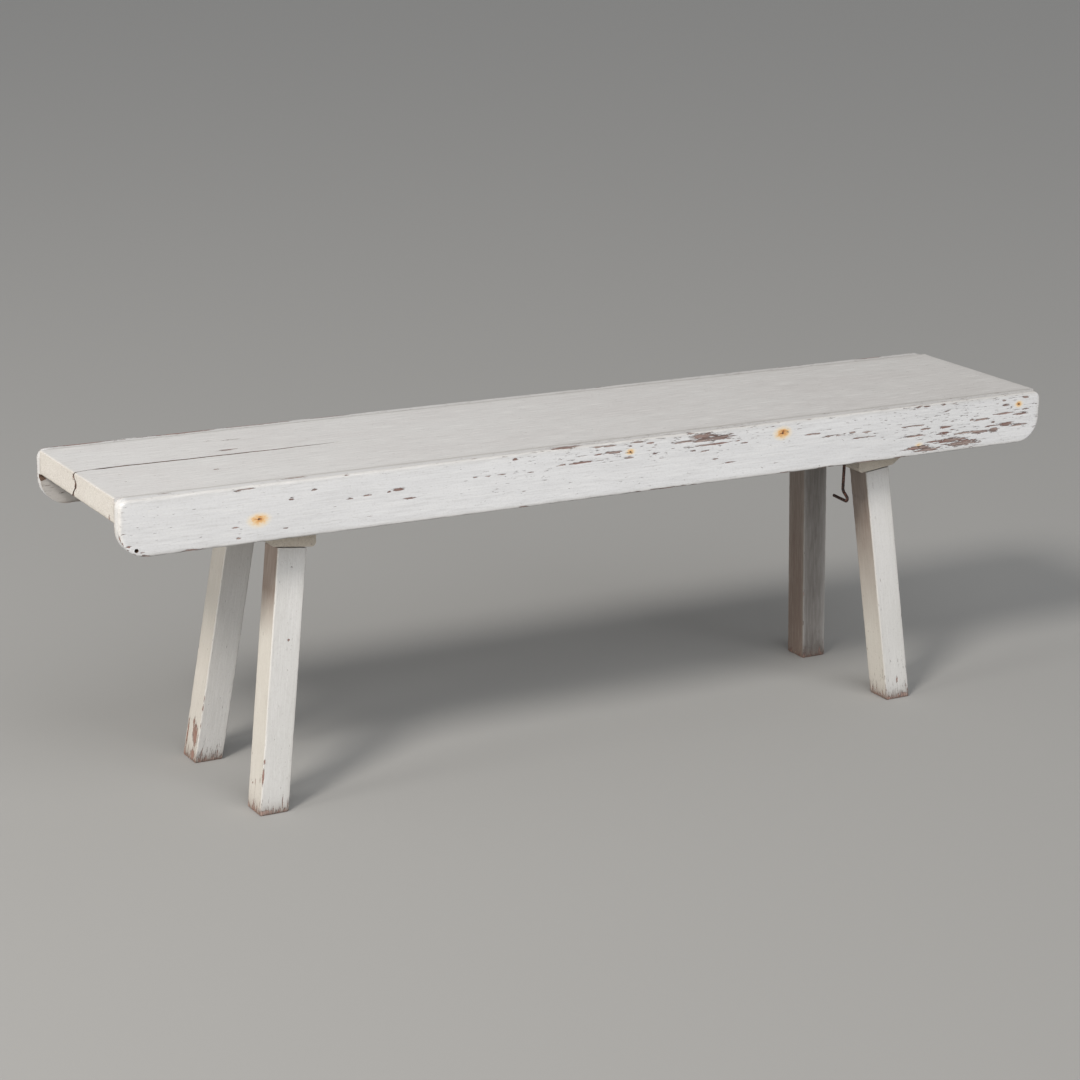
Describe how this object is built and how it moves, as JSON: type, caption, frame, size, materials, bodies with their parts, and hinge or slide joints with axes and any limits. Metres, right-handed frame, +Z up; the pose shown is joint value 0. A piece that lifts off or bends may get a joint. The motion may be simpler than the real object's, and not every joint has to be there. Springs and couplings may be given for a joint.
{
  "type": "splayed-leg bench",
  "caption": "Long low painted bench: a wide plank between nailed rails, on dovetailed bearers with splayed wedged legs, and a wire hook hanging in a screw eye below.",
  "frame": {"origin": "on the floor under the middle of the bench", "axes": "+X along the bench to the end with the hook, the holed front rail faces -Y, +Z up"},
  "size_m": [1.405, 0.282, 0.44],
  "materials": {
    "painted_seat": "worn warm white paint",
    "painted_rails": "flaking white paint",
    "painted_bearers": "thin off-white paint",
    "painted_legs": "worn off-white paint",
    "bare_pine": "bare old pine",
    "rusty_nails": "rusted iron",
    "dark_wire": "dark brown iron wire"
  },
  "bodies": {
    "bench": {"seat_plank": "painted_seat", "front_rail": "painted_rails", "rear_rail": "painted_rails", "left_bearer": "painted_bearers", "right_bearer": "painted_bearers", "front_left_leg": "painted_legs", "front_right_leg": "painted_legs", "rear_left_leg": "painted_legs", "rear_right_leg": "painted_legs", "front_left_wedge": "bare_pine", "front_right_wedge": "bare_pine", "rear_left_wedge": "bare_pine", "rear_right_wedge": "bare_pine", "front_seat_nails": "rusty_nails", "rear_seat_nails": "rusty_nails", "front_bearer_nails": "rusty_nails", "rear_bearer_nails": "rusty_nails", "hook_eye": "dark_wire"},
    "hook": {"wire_hook": "dark_wire"}
  },
  "joints": [
    {"name": "hook_swing", "type": "hinge", "parent": "bench", "child": "hook", "pos_m": [0.406, -0.08, 0.38875], "axis": [1, 0, 0], "range_deg": [-61, 89]}
  ]
}
